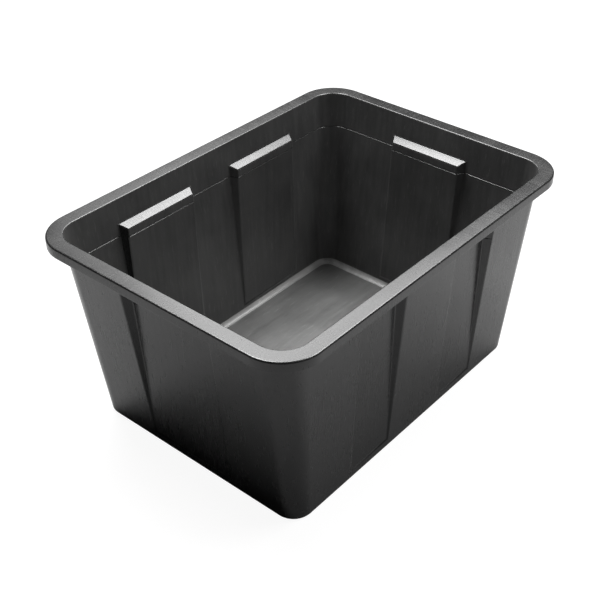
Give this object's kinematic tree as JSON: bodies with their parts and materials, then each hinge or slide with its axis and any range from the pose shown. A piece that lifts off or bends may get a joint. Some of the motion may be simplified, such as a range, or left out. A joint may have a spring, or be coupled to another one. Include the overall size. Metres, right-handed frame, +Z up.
{
  "type": "mortar mixing tub",
  "caption": "Open rectangular black plastic tub with tapering walls, stiffening ribs with ledges, and a flat rim with a downturned lip, for mixing mortar.",
  "frame": {"origin": "centre of the underside, on the surface that the tub stands on", "axes": "+X along the tub's length, +Y across it towards the back wall, +Z up out of the open mouth"},
  "size_m": [0.63, 0.458, 0.315],
  "materials": {
    "tub_plastic": "satin black moulded polyolefin with fine scuffs"
  },
  "bodies": {
    "root": {"floor": "tub_plastic", "front_wall": "tub_plastic", "back_wall": "tub_plastic", "left_wall": "tub_plastic", "right_wall": "tub_plastic", "front_left_corner": "tub_plastic", "front_right_corner": "tub_plastic", "back_right_corner": "tub_plastic", "back_left_corner": "tub_plastic", "front_left_rib": "tub_plastic", "front_right_rib": "tub_plastic", "back_left_rib": "tub_plastic", "back_right_rib": "tub_plastic", "left_rib": "tub_plastic", "right_rib": "tub_plastic", "front_rim_top": "tub_plastic", "back_rim_top": "tub_plastic", "left_rim_top": "tub_plastic", "right_rim_top": "tub_plastic", "front_left_rim_top": "tub_plastic", "front_right_rim_top": "tub_plastic", "back_right_rim_top": "tub_plastic", "back_left_rim_top": "tub_plastic", "front_lip": "tub_plastic", "back_lip": "tub_plastic", "left_lip": "tub_plastic", "right_lip": "tub_plastic", "front_left_lip": "tub_plastic", "front_right_lip": "tub_plastic", "back_right_lip": "tub_plastic", "back_left_lip": "tub_plastic"}
  },
  "joints": []
}
